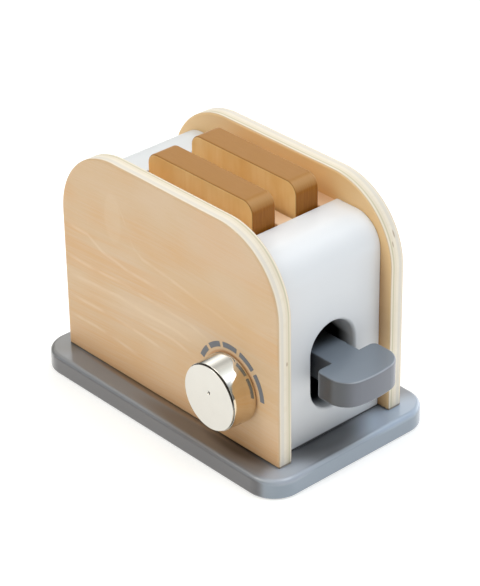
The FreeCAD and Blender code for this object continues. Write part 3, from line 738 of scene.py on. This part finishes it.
def skin(mesh, lower, upper):
    """Faces between two rings, either of which may be a single point."""
    count = max(len(lower), len(upper))
    for i in range(count):
        corners = []
        for vertex in (lower[i % len(lower)], lower[(i + 1) % len(lower)],
                       upper[(i + 1) % len(upper)], upper[i % len(upper)]):
            if vertex not in corners:
                corners.append(vertex)
        mesh.faces.new(corners)


def between(first, second, share):
    """A point part of the way from one profile point to another."""
    return tuple(a + (b - a) * share for a, b in zip(first, second))


def arc(centre, radius, start, end, steps=5):
    """Points of a profile's rounded corner, its angles in degrees."""
    points = []
    for i in range(steps + 1):
        angle = math.radians(start + (end - start) * i / steps)
        points.append((centre[0] + radius * math.cos(angle), centre[1] + radius * math.sin(angle)))
    return points


def standing_at(x, y, z, direction=(0, 0, 1)):
    """A frame in metres at a point in millimetres, its Z along a direction."""
    turn = Vector((0, 0, 1)).rotation_difference(Vector(direction)).to_matrix().to_4x4()
    return Matrix.Translation(Vector((x, y, z)) * MM) @ turn


def knob(finish, gap_finish):
    """Knob, wider towards the panel: a dimpled disc, a dark gap, a turned barrel and a hub behind; the
    gap and the dimple's middle take painted shade.
    """
    low, high = span("knob_cap")
    depth = high.y - low.y
    back = (high.x - low.x) / 2
    rim = back - KNOB_TAPER
    disc = rim - KNOB_GAP_STEP
    front = depth - KNOB_GAP
    profile = [(0, KNOB_BORE_DEPTH), (KNOB_BORE, KNOB_BORE_DEPTH), (KNOB_BORE, 0), (KNOB_HUB, 0),
               (KNOB_HUB, depth - KNOB_WALL), (rim - KNOB_WALL, depth - KNOB_WALL),
               (back - KNOB_WALL, 0)]
    profile += arc((back - KNOB_BACK_ROUND, KNOB_BACK_ROUND), KNOB_BACK_ROUND, -90, 0)
    rounding = arc((rim - KNOB_RIM_ROUND, front - KNOB_RIM_ROUND), KNOB_RIM_ROUND, 3, 90, 3)
    profile += [between(profile[-1], rounding[0], share) for share in (0.02, 0.98)]
    profile += rounding
    gap_start = len(profile) - 1
    profile += [(disc - KNOB_GAP_STEP, front - KNOB_GAP / 2), (disc - KNOB_RIM_ROUND, front)]
    gap_end = len(profile) - 1
    profile += arc((disc - KNOB_RIM_ROUND, depth - KNOB_RIM_ROUND), KNOB_RIM_ROUND, 0, 90, 3)
    profile.append((profile[-1][0] - KNOB_RIM_ROUND, depth))
    dimple = [(KNOB_DIMPLE + 0.1, depth), (KNOB_DIMPLE, depth),
              (KNOB_DIMPLE * 0.6, depth - KNOB_DIMPLE_DEPTH * 0.7), (0, depth - KNOB_DIMPLE_DEPTH)]
    mesh = bmesh.new()
    turned(mesh, profile + dimple, KNOB_STEPS)
    bmesh.ops.translate(mesh, vec=Vector((0, KNOB_DIMPLE_RISE * MM, 0)),
                        verts=list(mesh.verts)[-(KNOB_STEPS * 3 + 1):])
    # The gap's and the dimple's middle faces take the painted shade finish.
    for i, face in enumerate(mesh.faces):
        strip = i // KNOB_STEPS
        face.material_index = int(gap_start <= strip <= gap_end or strip > len(profile) + 1)
    piece = add_piece("plated_knob", mesh, finish, None, "polished_chrome", "knob_cap")
    piece.data.materials.append(gap_finish)
    middle = (low + high) / 2
    piece.matrix_world = standing_at(middle.x, high.y, middle.z, (0, -1, 0))
    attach(piece, "knob")


def lift_spring(node, finish):
    """Open coil with a closed turn at each end, squeezed between the base and the lever board."""
    low, high = span(node)
    middle = (low + high) / 2
    reach = (high.x - low.x) / 2 - SPRING_WIRE
    closed = SPRING_CLOSED_RISE * SPRING_WIRE
    bottom, top = low.z + SPRING_WIRE, high.z - SPRING_WIRE
    stretch = top - bottom - 2 * closed
    steps = SPRING_STEPS * (SPRING_TURNS + 2)
    mesh = bmesh.new()
    previous = None
    for i in range(steps + 1):
        turn = i / SPRING_STEPS
        opened = min(max(turn - 1, 0), SPRING_TURNS) / SPRING_TURNS
        closed_turns = min(turn, 1) + max(turn - 1 - SPRING_TURNS, 0)
        z = bottom + closed_turns * closed + opened * stretch
        outward = Vector((math.cos(turn * 2 * math.pi), math.sin(turn * 2 * math.pi), 0))
        centre = Vector((middle.x, middle.y, z)) + outward * reach
        ring = []
        for j in range(SPRING_SIDES):
            angle = 2 * math.pi * j / SPRING_SIDES
            offset = outward * math.cos(angle) + Vector((0, 0, math.sin(angle)))
            ring.append(mesh.verts.new((centre + offset * SPRING_WIRE) * MM))
        if previous:
            skin(mesh, previous, ring)
        else:
            mesh.faces.new(ring)
        previous = ring
    mesh.faces.new(previous)
    piece = add_piece(node.replace("lift_", "coil_"), mesh, finish, None, "spring_steel", node)
    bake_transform(piece)


def cross_reach(angle, width, length):
    """How far a plus-shaped recess reaches from its centre at an angle."""
    major, minor = sorted((abs(math.cos(angle)), abs(math.sin(angle))), reverse=True)
    return min(length / major, width / minor if minor > 1e-6 else length)


def wood_screw(mesh, frame_matrix, head, head_depth, shank, length):
    """Countersunk screw with a cross recess in its head and a thread that runs out to a point."""
    def point(x, y, height):
        return mesh.verts.new(frame_matrix @ (Vector((x, y, height)) * MM))

    def ring(height, reach):
        points = []
        for i in range(SCREW_STEPS):
            angle = 2 * math.pi * i / SCREW_STEPS
            radius = reach(angle) if callable(reach) else reach
            points.append(point(radius * math.cos(angle), radius * math.sin(angle), height))
        return points

    def recess(size):
        return lambda angle: cross_reach(angle, head * 0.13 * size, head * 0.6 * size)

    def thread(height):
        def radius(angle):
            turn = (height / SCREW_PITCH - angle / (2 * math.pi)) % 1
            return shank * (0.8 + 0.2 * abs(1 - 2 * turn))
        return radius

    rings = [[point(0, 0, head_depth * 0.9)],
             ring(head_depth * 0.7, recess(0.45)), ring(0, recess(1)), ring(0, head * 0.97),
             ring(head_depth * 0.12, head), ring(head_depth, shank)]
    turns = int((length - head_depth - SCREW_PLAIN - SCREW_POINT) / SCREW_PITCH)
    for i in range(turns * SCREW_RINGS):
        height = head_depth + SCREW_PLAIN + i * SCREW_PITCH / SCREW_RINGS
        rings.append(ring(height, thread(height)))
    rings += [ring(length - SCREW_TIP, shank * 0.5), [point(0, 0, length)]]
    for lower, upper in zip(rings, rings[1:]):
        skin(mesh, lower, upper)


def screws(finish):
    """Four screws up through the base and two down through the toast platform."""
    low, high = span("base_screws")
    head = BASE_SCREW[0]
    mesh = bmesh.new()
    for x in (low.x + head, high.x - head):
        for y in (low.y + head, high.y - head):
            wood_screw(mesh, standing_at(x, y, low.z), *BASE_SCREW, high.z - low.z)
    add_piece("cross_head_base_screws", mesh, finish, "housing", "zinc_steel", "base_screws")
    low, high = span("platform_screws")
    head = PLATFORM_SCREW[0]
    mesh = bmesh.new()
    for x in (low.x + head, high.x - head):
        downward = standing_at(x, (low.y + high.y) / 2, high.z, (0, 0, -1))
        wood_screw(mesh, downward, *PLATFORM_SCREW, high.z - low.z)
    add_piece("cross_head_platform_screws", mesh, finish, "carriage", "zinc_steel", "platform_screws")


# ---------------------------------------------------------------- camera, light and floor

PICTURE_LONG_SIDE = 586
FOCAL_PIXELS = 2377.2
SENSOR = 36.0
VIEW_AZIMUTH = 48.197
VIEW_ELEVATION = 30.596
VIEW_ROLL = -0.883
VIEW_TARGET = Vector((0, 0, 49.5))
VIEW_DISTANCE = 1212.16
VIEW_SHIFT = (4.857, 8.0)
VIEW_NEAREST, VIEW_FARTHEST = 50, 20000

# Each glow: its azimuth and elevation in degrees, how tightly it is gathered, and its colour.
ROOM_GLOWS = [
    (60, 62, 45, (3.35, 3.41, 3.50)), (20, 62, 45, (3.35, 3.41, 3.50)),
    (60, 62, 9, (0.56, 0.64, 0.74)), (90, 10, 9, (2.62, 2.62, 2.62)),
    (138, 30, 30, (1.60, 1.60, 1.58)), (0, 88, 20, (0.80, 0.82, 0.80)),
    (240, 50, 25, (4.59, 4.51, 4.35)), (270, 36, 9, (0.98, 0.90, 0.74)),
    (285, 50, 25, (1.02, 0.98, 0.90)), (0, 20, 9, (0.45, 0.49, 0.53)),
    (135, 10, 9, (0.29, 0.29, 0.29)), (178, 41, 22, (1.50, 1.50, 1.46)),
    (45, 36, 9, (0.13, 0.18, 0.25)),
]

FLOOR_GLOW = 0.76
FLOOR_WHITE = srgb(212, 212, 211)
FLOOR_PALE = srgb(208, 208, 207)
FLOOR_REACH = 4000.0
FLOOR_GAP = 0.3


def view_camera():
    """Looks down at the corner between the knob's side and the lever's end through a long lens."""
    azimuth, elevation, roll = (math.radians(a) for a in (VIEW_AZIMUTH, VIEW_ELEVATION, VIEW_ROLL))
    right = Vector((math.cos(azimuth), math.sin(azimuth), 0))
    back = Vector((math.sin(azimuth) * math.cos(elevation), -math.cos(azimuth) * math.cos(elevation),
                   math.sin(elevation)))
    up = back.cross(right)
    rolled_right = right * math.cos(roll) + up * math.sin(roll)
    rolled_up = up * math.cos(roll) - right * math.sin(roll)
    lens = bpy.data.cameras.new("view_camera")
    lens.sensor_width = SENSOR
    lens.lens = FOCAL_PIXELS * SENSOR / PICTURE_LONG_SIDE
    lens.clip_start = VIEW_NEAREST * MM
    lens.clip_end = VIEW_FARTHEST * MM
    camera = bpy.data.objects.new("view_camera", lens)
    place = VIEW_TARGET + back * VIEW_DISTANCE
    place = place + rolled_right * VIEW_SHIFT[0] + rolled_up * VIEW_SHIFT[1]
    turn = Matrix((rolled_right, rolled_up, back)).transposed().to_4x4()
    camera.matrix_world = Matrix.Translation(place * MM) @ turn
    bpy.context.scene.collection.objects.link(camera)
    bpy.context.scene.camera = camera


def studio():
    """A room whose walls and ceiling glow softly in a few directions and stay dark elsewhere."""
    room = Finish(bpy.data.worlds.new("studio_room"))
    bpy.context.scene.world = room.block
    direction = room.node("ShaderNodeTexCoord", output="Generated")
    light = None
    for azimuth, elevation, tightness, colour in ROOM_GLOWS:
        turn, rise = math.radians(azimuth), math.radians(elevation)
        toward = (math.cos(turn) * math.cos(rise), math.sin(turn) * math.cos(rise), math.sin(rise))
        near = room.node("ShaderNodeVectorMath", {"operation": "DOT_PRODUCT"},
                         {0: direction, 1: toward}, "Value")
        glow = room.node("ShaderNodeVectorMath", {"operation": "SCALE"},
                         {0: colour, "Scale": room.math("EXPONENT", (near - 1) * tightness)})
        light = room.vectors("ADD", light, glow) if light else glow
    walls = room.node("ShaderNodeBackground", None, {"Color": light, "Strength": 1.0})
    room.node("ShaderNodeOutputWorld", None, {"Surface": walls})


def floor():
    """A wide pale floor, a hair below the toy so that the two surfaces don't meet."""
    finish = new_finish("pale_floor")
    place = finish.place()
    mottle = finish.drawn(place, (300, 300, 300), 1.0)
    colour = finish.mix(mottle, FLOOR_PALE, FLOOR_WHITE)
    finish.surface(
        Base_Color=colour, Roughness=0.6, Emission_Color=colour, Emission_Strength=FLOOR_GLOW)
    data = bpy.data.meshes.new("floor")
    sides = ((-1, -1), (1, -1), (1, 1), (-1, 1))
    corners = [Vector((x * FLOOR_REACH, y * FLOOR_REACH, -FLOOR_GAP)) * MM for x, y in sides]
    data.from_pydata(corners, [], [(0, 1, 2, 3)])
    data.materials.append(finish.block)
    plane = bpy.data.objects.new("floor", data)
    bpy.context.scene.collection.objects.link(plane)


# ---------------------------------------------------------------- dressing the pieces


def dress(finish, *names):
    """Gives CAD nodes a finish."""
    for name in names:
        slots = nodes[name].material_slots
        for slot in slots:
            slot.material = finish
        if not slots:
            nodes[name].data.materials.append(finish)


def dress_nodes():
    dress(veneered_plywood(), "knob_side_panel", "plain_side_panel")
    dress(bare_board(), "slot_divider", "knob_side_liner", "plain_side_liner", "toast_platform")
    dress(turned_dowel(), "panel_dowels", "divider_dowels", "front_guide_dowel", "rear_guide_dowel")
    dress(toast_brown(), "near_toast", "far_toast")
    dress(satin_paint("base_grey", BASE_GREY, BASE_SHADE, roughness=0.34, coat=1.0, front=BASE_FRONT_PAINTED_LIGHT,
                      side=BASE_SIDE_PAINTED_SHADE, side_from=-0.86, patches=BASE_PAINTED_LIGHT_AND_SHADE), "base_plate")
    dress(satin_paint("lever_grey", LEVER_GREY, LEVER_SHADE, roughness=0.34, coat=0.5,
                      front=LEVER_FRONT_PAINTED_SHADE, side=LEVER_SIDE_PAINTED_SHADE), "lever_board")
    dress(satin_paint("white_paint", WHITE, WHITE_SHADE, roughness=0.45, coat=0.15,
                      patches=WHITE_TOP_PAINTED_SHADE), "front_end_block", "rear_end_block")
    dress(dial_print(), "dial_marks")
    zinc = worked_metal("zinc_plate", ZINC, ZINC_SHADE, roughness=0.28, sizes=(0.8, 0.8, 0.8))
    dress(zinc, "knob_spindle", "spindle_washer", "lock_nut")
    dress(worked_metal("turned_brass", BRASS, BRASS_SHADE, roughness=0.22, sizes=(0.4, 6, 0.4)),
          "spindle_bush")
    return zinc


view_camera()
studio()
floor()
zinc = dress_nodes()
knob(turned_chrome(), shadow_gap())
screws(zinc)
spring_wire = worked_metal("spring_wire", STEEL, STEEL_SHADE, roughness=0.25, sizes=(2, 2, 0.3))
for node in ("front_lift_spring", "rear_lift_spring"):
    lift_spring(node, spring_wire)
bpy.context.scene.view_settings.view_transform = "Standard"
